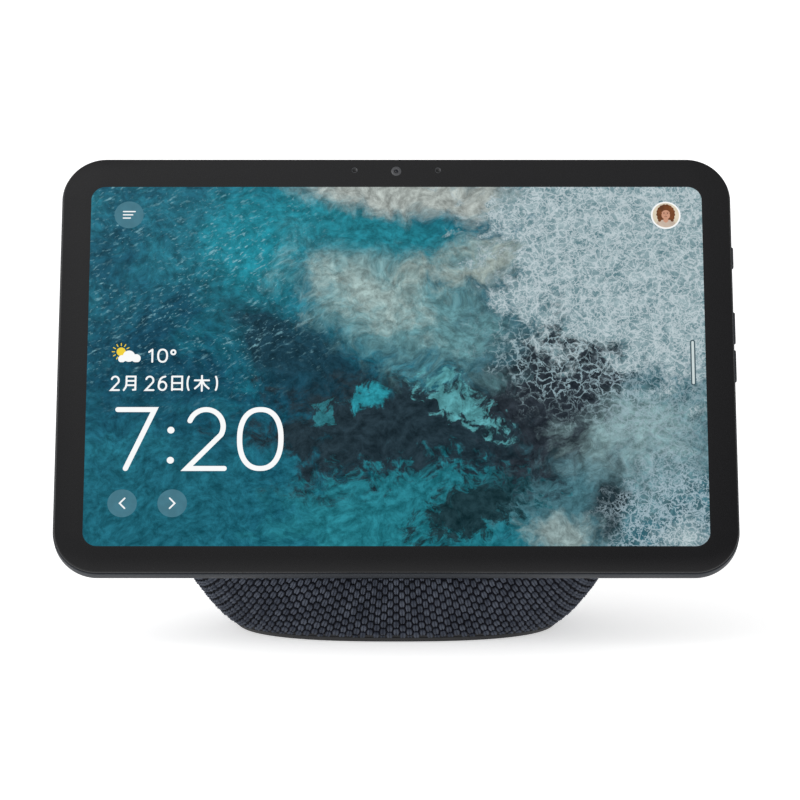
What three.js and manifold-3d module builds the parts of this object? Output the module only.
// Smart display: a touch screen that leans back on a fabric-covered loudspeaker base.
// Millimetres, +Z up, +X to the viewer's right, and the screen faces -Y.
// The origin is the middle of the rubber foot, on the table.
import * as THREE from "three";
import { mergeVertices } from "three/addons/utils/BufferGeometryUtils.js";
import Module from "manifold-3d";

const wasm = await Module();
wasm.setup();

// ---------------------------------------------------------------- driving dimensions
const SCREEN_W = 235.9; // lit area, 10.95 inches across at 16:10
const SCREEN_H = 147.4;
const BORDER = 10.85; // black border all round the lit area
const DISPLAY_W = SCREEN_W + 2 * BORDER;
const DISPLAY_H = SCREEN_H + 2 * BORDER;
const CORNER_R = 17;
const DISPLAY_T = 9;
const TILT = THREE.MathUtils.degToRad(28.8); // lean back from upright
const LIP_Y = -64; // lowest edge of the glass
const LIP_Z = 30.5;

const POD = { halfWidth: 92, halfDepth: 64, low: 86.5, high: 70, middleZ: 64.5, squareness: 2.5 };
const FABRIC_T = 1.2;
const GRILLE_T = 2.5;
const FABRIC_EDGE_Z = 2.2; // the fabric stops here, above the base plate's edge
const POD_STEPS = 32; // points round the pod's plan

const GAP = 0.3; // between pieces that touch
const GLASS_T = 1.1;
const SHELL_FRONT = GLASS_T + GAP;
const SHELL_WALL = 2.2;
const SHELL_FLOOR = 1.6;
const BACK_FILLET = 3.6;
const POCKET_FLOOR = DISPLAY_T - SHELL_FLOOR;
const POD_FRONT = DISPLAY_T + GAP; // the pod starts here, measured back from the glass

// Side keys: middle and length along the right edge, measured up from the display's middle.
const KEYS = [
  { name: "mute", middle: 44.2, length: 8.8 },
  { name: "volume_up", middle: 15.2, length: 13 },
  { name: "volume_down", middle: -0.3, length: 13 },
];
const KEY_W = 2.4;
const KEY_PROUD = 0.7;
const KEY_DEPTH = 3.7; // middle of the keys, measured back from the glass
const KEY_SIDE_GAP = 0.2;

const CAMERA_Z = SCREEN_H / 2 + 5.5;
const MIC_X = 16.1;
const MIC_HOLE_R = 0.55;

const PORT_Z = 20;
const PORT_R = 9.5;
const PORT_BORE_R = 8.5;
const PORT_FLOOR_Y = 44;

const WOOFER_AT = [0, 46, 68]; // middle of its baffle, facing back
const SIDE_DRIVER_AT = [66, 12, 58]; // the right one's; the left one mirrors it

// ---------------------------------------------------------------- solids
function solidOf(geometry) {
  const bare = geometry.clone();
  bare.deleteAttribute("normal");
  bare.deleteAttribute("uv");
  const merged = mergeVertices(bare, 1e-4);
  return new wasm.Manifold(
    new wasm.Mesh({
      numProp: 3,
      vertProperties: new Float32Array(merged.attributes.position.array),
      triVerts: new Uint32Array(merged.index.array),
    }),
  );
}

function geometryOf(solid) {
  const mesh = solid.getMesh();
  const geometry = new THREE.BufferGeometry();
  geometry.setAttribute("position", new THREE.BufferAttribute(mesh.vertProperties, 3));
  geometry.setIndex(new THREE.BufferAttribute(mesh.triVerts, 1));
  geometry.computeVertexNormals();
  return geometry;
}

function boxBetween(low, high) {
  const size = high.map((value, axis) => value - low[axis]);
  const middle = high.map((value, axis) => (value + low[axis]) / 2);
  return new THREE.BoxGeometry(...size).translate(...middle);
}

// A cylinder whose axis runs along Y, from y0 to y1, at x and z.
function rodAlongY(radius, y0, y1, x = 0, z = 0, segments = 20) {
  return new THREE.CylinderGeometry(radius, radius, y1 - y0, segments).translate(x, (y0 + y1) / 2, z);
}

function rodAlongZ(radius, z0, z1, x = 0, y = 0, segments = 20) {
  return new THREE.CylinderGeometry(radius, radius, z1 - z0, segments)
    .rotateX(Math.PI / 2)
    .translate(x, y, (z0 + z1) / 2);
}

// Joins closed rings of equal length into one closed solid, with a fan at each end.
function loft(rings) {
  const count = rings[0].length;
  const positions = rings.flat(2);
  const index = [];
  for (let ring = 0; ring < rings.length - 1; ring++) {
    for (let i = 0; i < count; i++) {
      const a = ring * count + i;
      const b = ring * count + ((i + 1) % count);
      index.push(a, b, b + count, a, b + count, a + count);
    }
  }
  const last = (rings.length - 1) * count;
  for (let i = 1; i < count - 1; i++) {
    index.push(0, i + 1, i, last, last + i, last + i + 1);
  }
  const geometry = new THREE.BufferGeometry();
  geometry.setAttribute("position", new THREE.Float32BufferAttribute(positions, 3));
  return geometry.setIndex(index);
}

// One rounded rectangle in the XZ plane at depth y, seen from the front, anticlockwise from behind.
function roundedRing(width, height, radius, y, steps = 6) {
  const ring = [];
  const corners = [[-1, -1], [-1, 1], [1, 1], [1, -1]];
  corners.forEach(([sx, sz], corner) => {
    for (let i = 0; i <= steps; i++) {
      const angle = Math.PI * 1.5 - (Math.PI / 2) * (corner + i / steps);
      const x = sx * (width / 2 - radius) + radius * Math.cos(angle);
      const z = sz * (height / 2 - radius) + radius * Math.sin(angle);
      ring.push([x, y, z]);
    }
  });
  return ring;
}

// A rounded plate lofted from front to back. Each section is [depth, inset from the full outline].
function roundedPlate(width, height, radius, sections, steps = 6) {
  return loft(
    sections.map(([y, inset]) =>
      roundedRing(width - 2 * inset, height - 2 * inset, Math.max(radius - inset, 0.2), y, steps),
    ),
  );
}

// ---------------------------------------------------------------- the pod's outer form
// How far the squared-off plan reaches at an angle, against a plain ellipse.
function squared(angle) {
  const n = POD.squareness;
  return (Math.abs(Math.cos(angle)) ** n + Math.abs(Math.sin(angle)) ** n) ** (-1 / n);
}

// The pod's outline at height z, drawn in by inset.
function podRing(z, inset) {
  const reach = z < POD.middleZ ? POD.low - inset : POD.high - inset;
  const share = Math.sqrt(Math.max(0, 1 - ((z - POD.middleZ) / reach) ** 2));
  return Array.from({ length: POD_STEPS }, (_, i) => {
    const angle = (2 * Math.PI * i) / POD_STEPS;
    const scale = share * squared(angle);
    const x = (POD.halfWidth - inset) * scale * Math.cos(angle);
    const y = (POD.halfDepth - inset) * scale * Math.sin(angle);
    return [x, y, z];
  });
}

// The whole pod, drawn in by inset all over, from below the table to its top.
function podSolid(inset, levels = 13) {
  const lowest = -2;
  const top = POD.middleZ + POD.high - inset;
  const start = Math.asin((lowest - POD.middleZ) / (POD.low - inset));
  const rings = Array.from({ length: levels }, (_, i) => {
    const angle = start + ((Math.PI / 2 - start) * i) / levels;
    const reach = angle < 0 ? POD.low - inset : POD.high - inset;
    return podRing(POD.middleZ + reach * Math.sin(angle), inset);
  });
  rings.push(podRing(top - 0.05, inset));
  return solidOf(loft(rings));
}

// ---------------------------------------------------------------- materials
const paint = (color, roughness, metalness = 0) =>
  new THREE.MeshStandardMaterial({ color, roughness, metalness });

const MATERIALS = {
  glass: paint(0x0c0d0e, 0.12),
  shell: paint(0x3a3c40, 0.5),
  key: paint(0x3e4044, 0.45),
  fabric: paint(0x3a3e49, 0.95),
  grille: paint(0x1c1d20, 0.7),
  plastic: paint(0x222326, 0.6),
  rubber: paint(0x1b1b1c, 0.9),
  steel: paint(0x9a9da1, 0.4, 0.9),
  aluminium: paint(0xb4b7ba, 0.45, 0.9),
  board: paint(0x1d4a34, 0.6),
  panel: paint(0x14323a, 0.3),
  magnet: paint(0x2b2b2e, 0.4, 0.5),
  cone: paint(0x17181a, 0.85),
  copper: paint(0xa5663a, 0.4, 0.9),
};

function piece(parent, name, shape, material) {
  const geometry = shape.isBufferGeometry ? shape : geometryOf(shape);
  const mesh = new THREE.Mesh(geometry, MATERIALS[material]);
  mesh.name = name;
  parent.add(mesh);
  return mesh;
}

// ---------------------------------------------------------------- frames
const root = new THREE.Group();

// In the display's own frame the glass lies on y = 0, +y runs back and z runs up the screen.
const display = new THREE.Group();
display.rotation.x = -TILT;
display.position.set(
  0,
  LIP_Y + (DISPLAY_H / 2) * Math.sin(TILT),
  LIP_Z + (DISPLAY_H / 2) * Math.cos(TILT),
);
display.updateMatrix();
root.add(display);

// A block that fills everything behind the display's plane y = depth, in the root's frame.
function behindDisplay(depth) {
  const far = 400;
  return solidOf(boxBetween([-far, depth, -far], [far, depth + far, far]).applyMatrix4(display.matrix));
}

// Everything that stands clear of the display: behind it, below it, and outside its rounded lower back edge.
function clearOfDisplay() {
  const far = 400;
  const below = boxBetween([-far, -far, -far], [far, far, -DISPLAY_H / 2 - GAP]);
  const outside = boxBetween([-far, BACK_FILLET + GAP, -far], [far, far, far])
    .rotateX(-Math.PI / 4)
    .translate(0, DISPLAY_T - BACK_FILLET, BACK_FILLET - DISPLAY_H / 2);
  return behindDisplay(POD_FRONT)
    .add(solidOf(below.applyMatrix4(display.matrix)))
    .add(solidOf(outside.applyMatrix4(display.matrix)));
}

function above(z) {
  const far = 400;
  return solidOf(boxBetween([-far, -far, z], [far, far, z + far]));
}

// ---------------------------------------------------------------- display
function coverGlass() {
  const edge = 0.4; // the glass stands this far in from the shell's outline
  const sections = [[0, edge + 0.45], [0.12, edge + 0.18], [0.4, edge], [GLASS_T, edge]];
  let glass = solidOf(roundedPlate(DISPLAY_W, DISPLAY_H, CORNER_R, sections));
  for (const x of [-MIC_X, MIC_X]) {
    glass = glass.subtract(solidOf(rodAlongY(MIC_HOLE_R, -1, GLASS_T + 1, x, CAMERA_Z, 12)));
  }
  return glass;
}

// The key's slot or cap: a block with round ends that runs along X, from x0 to x1.
function keyBlock(x0, x1, width, length, z) {
  const ends = [-1, 1].map((side) =>
    solidOf(
      new THREE.CylinderGeometry(width / 2, width / 2, x1 - x0, 12)
        .rotateZ(Math.PI / 2)
        .translate((x0 + x1) / 2, KEY_DEPTH, z + side * (length / 2 - width / 2)),
    ),
  );
  const half = length / 2 - width / 2;
  const middle = solidOf(
    boxBetween([x0, KEY_DEPTH - width / 2, z - half], [x1, KEY_DEPTH + width / 2, z + half]),
  );
  return middle.add(ends[0]).add(ends[1]);
}

const BRACKET_SCREWS = [[-44, -56], [44, -56], [-44, -18], [44, -18]];

function displayShell() {
  const straight = DISPLAY_T - BACK_FILLET;
  const steps = 4;
  const sections = [[SHELL_FRONT, 0.25], [SHELL_FRONT + 0.3, 0]];
  for (let i = 0; i <= steps; i++) {
    const angle = (Math.PI / 2) * (i / steps);
    sections.push([straight + BACK_FILLET * Math.sin(angle), BACK_FILLET * (1 - Math.cos(angle))]);
  }
  let shell = solidOf(roundedPlate(DISPLAY_W, DISPLAY_H, CORNER_R, sections));
  const pocket = [[0, SHELL_WALL], [POCKET_FLOOR - 1, SHELL_WALL], [POCKET_FLOOR, SHELL_WALL + 1]];
  shell = shell.subtract(solidOf(roundedPlate(DISPLAY_W, DISPLAY_H, CORNER_R, pocket)));
  const cableWindow = boxBetween([-30, 5, -50], [30, 12, -30]);
  shell = shell.subtract(solidOf(cableWindow));
  for (const key of KEYS) {
    const slot = keyBlock(
      DISPLAY_W / 2 - SHELL_WALL - 1,
      DISPLAY_W / 2 + 1,
      KEY_W + 2 * KEY_SIDE_GAP,
      key.length + 2 * KEY_SIDE_GAP,
      key.middle,
    );
    shell = shell.subtract(slot);
  }
  for (const [x, z] of BRACKET_SCREWS) {
    shell = shell.subtract(solidOf(rodAlongY(1.8, 5, 12, x, z, 12)));
  }
  return shell;
}

// A cap that stands proud of the shell, a flange that holds it in, and a nub over its switch.
function keyCap(key) {
  const outside = DISPLAY_W / 2 + KEY_PROUD;
  const flange = DISPLAY_W / 2 - SHELL_WALL - GAP;
  const cap = keyBlock(flange - 0.5, outside, KEY_W, key.length, key.middle);
  const lip = keyBlock(flange - 1, flange, KEY_W + 1, key.length + 2, key.middle);
  const nub = keyBlock(flange - 1.6, flange - 0.5, 1.4, 3, key.middle);
  return cap.add(lip).add(nub);
}

const SWITCH_X = DISPLAY_W / 2 - 4.6; // 0.5 mm inside the nub

function keySwitch(key) {
  const low = [SWITCH_X - 1.6, KEY_DEPTH - 1.5, key.middle - 2];
  const high = [SWITCH_X - 0.4, KEY_DEPTH + 1.5, key.middle + 2];
  const dome = new THREE.CylinderGeometry(0.6, 1.1, 0.6, 12)
    .rotateZ(-Math.PI / 2)
    .translate(SWITCH_X - 0.3, KEY_DEPTH, key.middle);
  return solidOf(boxBetween(low, high)).add(solidOf(dome));
}

function keyBoard() {
  const right = SWITCH_X - 1.6 - GAP;
  return boxBetween([right - 0.6, 2, -10], [right, 6, 52]);
}

function plate(width, height, y0, y1, x = 0, z = 0) {
  return boxBetween([x - width / 2, y0, z - height / 2], [x + width / 2, y1, z + height / 2]);
}

function midframe() {
  let frame = solidOf(roundedPlate(236, 146, 5, [[5.1, 0], [5.9, 0]], 4));
  for (const x of [-76, 76]) {
    frame = frame.subtract(solidOf(plate(50, 80, 4, 8, x, 6)));
  }
  return frame;
}

function cameraBarrel() {
  const profile = [[0, 4.2], [2.5, 4.2], [2.5, 1.5], [2, 1.5], [2, 2.9], [0, 2.9]];
  const barrel = new THREE.LatheGeometry(profile.map(([r, y]) => new THREE.Vector2(r, y)), 20);
  const block = plate(7, 5.2, 3.6, 6.3);
  return solidOf(flipped(barrel))
    .add(solidOf(block))
    .translate([0, 0, CAMERA_Z]);
}

function cameraLens() {
  const profile = [[0, 2.6], [1.7, 2.6], [1.7, 2.1], [1.2, 1.75], [0.6, 1.6], [0, 1.56]];
  return flipped(new THREE.LatheGeometry(profile.map(([r, y]) => new THREE.Vector2(r, y)), 20)).translate(
    0,
    0,
    CAMERA_Z,
  );
}

// Turns a geometry's faces round where its profile was drawn the other way.
function flipped(geometry) {
  const index = geometry.index.array;
  for (let i = 0; i < index.length; i += 3) {
    [index[i + 1], index[i + 2]] = [index[i + 2], index[i + 1]];
  }
  return geometry;
}

function microphone(x) {
  const body = solidOf(plate(3.6, 2.8, 1.5, 2.6, x, CAMERA_Z));
  return body.subtract(solidOf(rodAlongY(0.45, 1, 2.2, x, CAMERA_Z, 10)));
}

// The screen's flat cable: flat behind the panel, then out through the shell's window.
function screenRibbon() {
  const thickness = 0.4;
  const route = [[6.5, -28], [6.5, -36], [7.2, -38.5], [9.5, -40.5], [11.9, -41.5]];
  const outline = new THREE.Shape();
  route.forEach(([y, z], i) => (i ? outline.lineTo(y, z) : outline.moveTo(y, z)));
  [...route].reverse().forEach(([y, z], i) => {
    const along = i === 0 ? [0, thickness] : i > 2 ? [thickness, 0] : [thickness * 0.7, thickness * 0.7];
    outline.lineTo(y + along[0], z + along[1]);
  });
  const width = 22;
  return new THREE.ExtrudeGeometry(outline, { depth: width, bevelEnabled: false })
    .rotateX(Math.PI / 2)
    .rotateZ(Math.PI / 2)
    .translate(-width / 2, 0, 0);
}

function buildDisplay() {
  piece(display, "cover_glass", coverGlass(), "glass");
  piece(display, "lcd_panel", plate(240.6, 150.6, SHELL_FRONT, 3.8), "panel");
  piece(display, "backlight_tray", plate(240.6, 150.6, 4.1, 4.8), "aluminium");
  piece(display, "midframe", midframe(), "aluminium");
  piece(display, "display_rear_shell", displayShell(), "shell");
  for (const key of KEYS) {
    piece(display, `${key.name}_button`, keyCap(key), "key");
    piece(display, `${key.name}_switch`, keySwitch(key), "steel");
  }
  piece(display, "key_board", keyBoard(), "board");
  piece(display, "camera_barrel", cameraBarrel(), "plastic");
  piece(display, "camera_lens", cameraLens(), "glass");
  piece(display, "camera_board", plate(46, 4, 6.6, 7.1, 0, CAMERA_Z), "board");
  piece(display, "left_microphone", microphone(-MIC_X), "steel");
  piece(display, "right_microphone", microphone(MIC_X), "steel");
  piece(display, "left_antenna", plate(30, 4, 2, 2.6, -95, CAMERA_Z), "board");
  piece(display, "right_antenna", plate(30, 4, 2, 2.6, 95, CAMERA_Z), "board");
}

// ---------------------------------------------------------------- neck, between display and pod
function neckBracket() {
  let bracket = solidOf(plate(104, 50, POD_FRONT + 0.1, POD_FRONT + 1.7, 0, -37));
  for (const side of [-1, 1]) {
    const low = [side * 51 - 1, POD_FRONT + 0.1, -56];
    const high = [side * 51 + 1, POD_FRONT + 6, -18];
    bracket = bracket.add(solidOf(boxBetween(low, high)));
  }
  bracket = bracket.subtract(solidOf(boxBetween([-32, 5, -52], [32, 16, -26])));
  for (const [x, z] of BRACKET_SCREWS) {
    bracket = bracket.subtract(solidOf(rodAlongY(1.5, 5, 16, x, z, 12)));
  }
  return bracket;
}

// A pan-head screw that points along +Y, with a cross recess in its head.
function screw(headR, headT, shankR, length) {
  const head = solidOf(rodAlongY(headR, 0, headT, 0, 0, 12));
  const shank = solidOf(rodAlongY(shankR, headT - 0.2, length, 0, 0, 8));
  const recess = [[0.5, 2.2], [2.2, 0.5]].map(([w, h]) => solidOf(plate(w, h, -0.5, headT / 2)));
  return head.add(shank).subtract(recess[0].add(recess[1]));
}

function buildNeck() {
  piece(display, "neck_bracket", neckBracket(), "steel");
  BRACKET_SCREWS.forEach(([x, z], i) => {
    const made = piece(display, `bracket_screw_${i + 1}`, screw(2.4, 0.9, 1.2, 5.2), "steel");
    made.position.set(x, 6.2, z);
  });
  piece(display, "screen_ribbon", screenRibbon(), "copper");
  piece(display, "main_board", plate(96, 56, 12.6, 13.8, 0, -34), "board");
  piece(display, "heat_spreader", plate(60, 40, 14.1, 15.4, 0, -32), "aluminium");
}

// ---------------------------------------------------------------- pod
// A skin of the pod between two insets, open towards the display and below z.
function podSkin(outer, inner, z) {
  return podSolid(outer)
    .subtract(podSolid(inner))
    .intersect(clearOfDisplay())
    .intersect(above(z));
}

const portHole = solidOf(rodAlongY(PORT_R + GAP, 30, 80, 0, PORT_Z, 24));

function grilleFrame() {
  const inset = FABRIC_T + GAP;
  let frame = podSkin(inset, inset + GRILLE_T, FABRIC_EDGE_Z);
  const pitch = 11;
  const slotH = 3.8;
  for (let row = -2; row <= 2; row++) {
    const low = WOOFER_AT[2] + row * pitch - slotH / 2;
    const half = Math.sqrt(30 ** 2 - (row * pitch) ** 2);
    frame = frame.subtract(solidOf(boxBetween([-half, 40, low], [half, 80, low + slotH])));
  }
  const [sideX, sideY, sideZ] = SIDE_DRIVER_AT;
  for (let row = -1; row <= 1; row++) {
    const low = sideZ + row * pitch - slotH / 2;
    const half = Math.sqrt(19 ** 2 - (row * pitch) ** 2);
    for (const [x0, x1] of [[-120, -sideX], [sideX, 120]]) {
      const slot = boxBetween([x0, sideY - half, low], [x1, sideY + half, low + slotH]);
      frame = frame.subtract(solidOf(slot));
    }
  }
  return frame.subtract(portHole);
}

const BASE_SCREWS = [[-44, -8], [44, -8], [-30, 24], [30, 24]];
const ENCLOSURE_Z = 10.5;
const ENCLOSURE_WALL = 2.4;

// The sealed air box: the pod's own form, cut flat where the three drivers sit.
function enclosureBlock(wall) {
  const inset = FABRIC_T + GAP + GRILLE_T + 0.6;
  const sides = SIDE_DRIVER_AT[0] - wall;
  const rear = WOOFER_AT[1] - wall;
  const clip = solidOf(boxBetween([-sides, -90, ENCLOSURE_Z + wall], [sides, rear, 118 - wall]));
  const notch = solidOf(boxBetween([-16 - wall, 27 - wall, 0], [16 + wall, 90, 32 + wall]));
  return podSolid(inset + wall, 9)
    .intersect(behindDisplay(POD_FRONT + 7 + wall))
    .intersect(clip)
    .subtract(notch);
}

function speakerEnclosure() {
  let box = enclosureBlock(0).subtract(enclosureBlock(ENCLOSURE_WALL));
  const [, wooferY, wooferZ] = WOOFER_AT;
  box = box.subtract(solidOf(rodAlongY(30.5, wooferY - 8, wooferY + 4, 0, wooferZ, 24)));
  const [sideX, sideY, sideZ] = SIDE_DRIVER_AT;
  for (const side of [-1, 1]) {
    const hole = new THREE.CylinderGeometry(20, 20, 12, 20)
      .rotateZ(Math.PI / 2)
      .translate(side * sideX, sideY, sideZ);
    box = box.subtract(solidOf(hole));
  }
  for (const [x, y] of BASE_SCREWS) {
    const boss = solidOf(rodAlongZ(3.2, ENCLOSURE_Z + 0.6, ENCLOSURE_Z + 6, x, y, 12));
    box = box.add(boss).subtract(solidOf(rodAlongZ(1.5, ENCLOSURE_Z - 1, ENCLOSURE_Z + 4.6, x, y, 8)));
  }
  return box;
}

const BASE_EDGE_Z = 0.5;
const BASE_TOP_Z = 4.6;
const PAD_T = 1.2;
const PAD_INSET = 6;

// The pod's plan at the table, drawn in by inset and set at height z.
function footRing(inset, z) {
  return podRing(0, inset).map(([x, y]) => [x, y, z]);
}

// The plastic plate that closes the pod underneath; its edge shows as a dark line under the fabric.
function basePlate() {
  const flangeTop = FABRIC_EDGE_Z - GAP;
  const plugInset = FABRIC_T + GAP + GRILLE_T + 0.8;
  const flange = loft([podRing(BASE_EDGE_Z, 1), podRing(BASE_EDGE_Z + 0.4, 0.4), podRing(flangeTop, 0.3)]);
  const plug = loft([podRing(flangeTop - 0.2, plugInset), podRing(BASE_TOP_Z, plugInset)]);
  const padPocket = loft([footRing(PAD_INSET - GAP, -1), footRing(PAD_INSET - GAP, PAD_T + GAP)]);
  let made = solidOf(flange).add(solidOf(plug)).subtract(solidOf(padPocket));
  for (const [x, y] of BASE_SCREWS) {
    made = made
      .subtract(solidOf(rodAlongZ(1.5, 0, 8, x, y, 8)))
      .subtract(solidOf(rodAlongZ(2.9, 0, 3.2, x, y, 12)));
  }
  return made;
}

function footPad() {
  return loft([footRing(PAD_INSET + 0.4, 0), footRing(PAD_INSET, 0.4), footRing(PAD_INSET, PAD_T)]);
}

// A steel slab low in the pod, so that the raised screen doesn't tip it.
function ballastPlate() {
  const slab = new THREE.CylinderGeometry(1, 1, 3.6, 24).rotateX(Math.PI / 2).scale(38, 19, 1);
  return slab.translate(0, -6, BASE_TOP_Z + GAP + 1.8);
}

function portTrim() {
  const cup = solidOf(rodAlongY(PORT_R, PORT_FLOOR_Y, 70, 0, PORT_Z, 24));
  const bore = solidOf(rodAlongY(PORT_BORE_R, PORT_FLOOR_Y + 3, 80, 0, PORT_Z, 24));
  const jackHole = solidOf(rodAlongY(4.3, 40, 60, 0, PORT_Z, 20));
  return cup.intersect(podSolid(-0.15)).subtract(bore).subtract(jackHole);
}

// A barrel socket: a block behind the cup, a round nose in its floor, and the centre pin.
function dcJack() {
  const front = PORT_FLOOR_Y + 3.6;
  const nose = solidOf(rodAlongY(4, 40, front, 0, PORT_Z, 20));
  const block = solidOf(boxBetween([-4.6, 32, PORT_Z - 4.6], [4.6, PORT_FLOOR_Y - GAP, PORT_Z + 4.6]));
  const socket = solidOf(rodAlongY(2.8, front - 9, front + 1, 0, PORT_Z, 16));
  const pin = solidOf(rodAlongY(1, front - 9.5, front - 0.8, 0, PORT_Z, 10));
  return nose.add(block).subtract(socket).add(pin);
}

function buildPod() {
  piece(root, "fabric_cover", podSkin(0, FABRIC_T, FABRIC_EDGE_Z).subtract(portHole), "fabric");
  piece(root, "grille_frame", grilleFrame(), "grille");
  piece(root, "speaker_enclosure", speakerEnclosure(), "plastic");
  piece(root, "base_plate", basePlate(), "plastic");
  piece(root, "foot_pad", footPad(), "rubber");
  piece(root, "ballast_plate", ballastPlate(), "steel");
  piece(root, "port_trim", portTrim(), "plastic");
  piece(root, "dc_jack", dcJack(), "plastic");
  piece(root, "power_board", boxBetween([-13, 30, 13.5], [13, 43, PORT_Z - 4.6 - GAP]), "board");
  BASE_SCREWS.forEach(([x, y], i) => {
    const made = piece(root, `base_screw_${i + 1}`, screw(2.6, 1.2, 1.2, 12.6), "steel");
    made.rotation.x = Math.PI / 2;
    made.position.set(x, y, 1.8);
  });
}

// ---------------------------------------------------------------- loudspeakers
function turned(profile, segments) {
  return flipped(new THREE.LatheGeometry(profile.map(([r, y]) => new THREE.Vector2(r, y)), segments));
}

// The half-round roll that joins the cone to the basket, as a closed profile.
function rollProfile(middle, outerR, innerR, steps = 4) {
  const arc = (radius) =>
    Array.from({ length: steps + 1 }, (_, i) => {
      const angle = (Math.PI * i) / steps;
      return [middle - radius * Math.cos(angle), 2 + GAP + radius * Math.sin(angle)];
    });
  const outside = arc(outerR);
  return [...outside, ...arc(innerR).reverse(), outside[0]];
}

// A driver that fires along +Y from its baffle at y = 0. Its cone and coil move together.
function driver(prefix, { flangeR, coneR, coilR, depth, magnetR, magnetT, segments }) {
  const group = new THREE.Group();
  const lipR = coneR + 2.4;
  const bowlR = coneR + 3.5;
  const neckR = coilR + 4.5;
  const frontPlateY = -depth;
  const rearY = frontPlateY - magnetT;
  const grooveY = rearY + 3;
  const coneDeep = -depth / 2;
  const coneT = 0.8;
  const basket = [
    [lipR, 2], [flangeR, 2], [flangeR, GAP], [bowlR, GAP], [neckR + 2, frontPlateY + GAP],
    [neckR - 1.2, frontPlateY + GAP], [neckR - 1.2, frontPlateY + 1.8], [bowlR - 1.6, 0.2], [lipR, 2],
  ];
  const magnet = [
    [0, frontPlateY], [coilR - 0.9, frontPlateY], [coilR - 0.9, grooveY], [coilR + 0.9, grooveY],
    [coilR + 0.9, frontPlateY], [magnetR, frontPlateY], [magnetR, rearY], [0, rearY],
  ];
  const dust = coneDeep + coilR / 2;
  const cone = [
    [0, dust], [coilR + 0.3, coneDeep + 0.6], [coneR, 2.4],
    [coneR, 2.4 - coneT], [coilR + 0.3, coneDeep + 0.4 - coneT], [0, dust - coneT],
  ];
  const coilEnd = frontPlateY - magnetT * 0.45;
  const coil = [
    [coilR - 0.35, coneDeep - 0.8], [coilR + 0.35, coneDeep - 0.8],
    [coilR + 0.35, coilEnd], [coilR - 0.35, coilEnd], [coilR - 0.35, coneDeep - 0.8],
  ];
  piece(group, `${prefix}_basket`, turned(basket, segments), "plastic");
  piece(group, `${prefix}_magnet`, turned(magnet, segments), "magnet");
  piece(group, `${prefix}_surround`, turned(rollProfile(coneR + 1.9, 1.6, 1), segments), "rubber");
  piece(group, `${prefix}_cone`, turned(cone, segments), "cone");
  piece(group, `${prefix}_voice_coil`, turned(coil, segments), "copper");
  return group;
}

function buildDrivers() {
  const woofer = driver("woofer", {
    flangeR: 34, coneR: 25, coilR: 7.5, depth: 22, magnetR: 19, magnetT: 13, segments: 22,
  });
  woofer.position.set(...WOOFER_AT);
  root.add(woofer);
  for (const [prefix, side] of [["left", -1], ["right", 1]]) {
    const small = driver(`${prefix}_driver`, {
      flangeR: 22.5, coneR: 15.5, coilR: 5, depth: 12, magnetR: 12, magnetT: 9, segments: 18,
    });
    small.rotation.z = (-side * Math.PI) / 2;
    small.position.set(side * SIDE_DRIVER_AT[0], SIDE_DRIVER_AT[1], SIDE_DRIVER_AT[2]);
    root.add(small);
  }
}

buildDisplay();
buildNeck();
buildPod();
buildDrivers();

export default root;
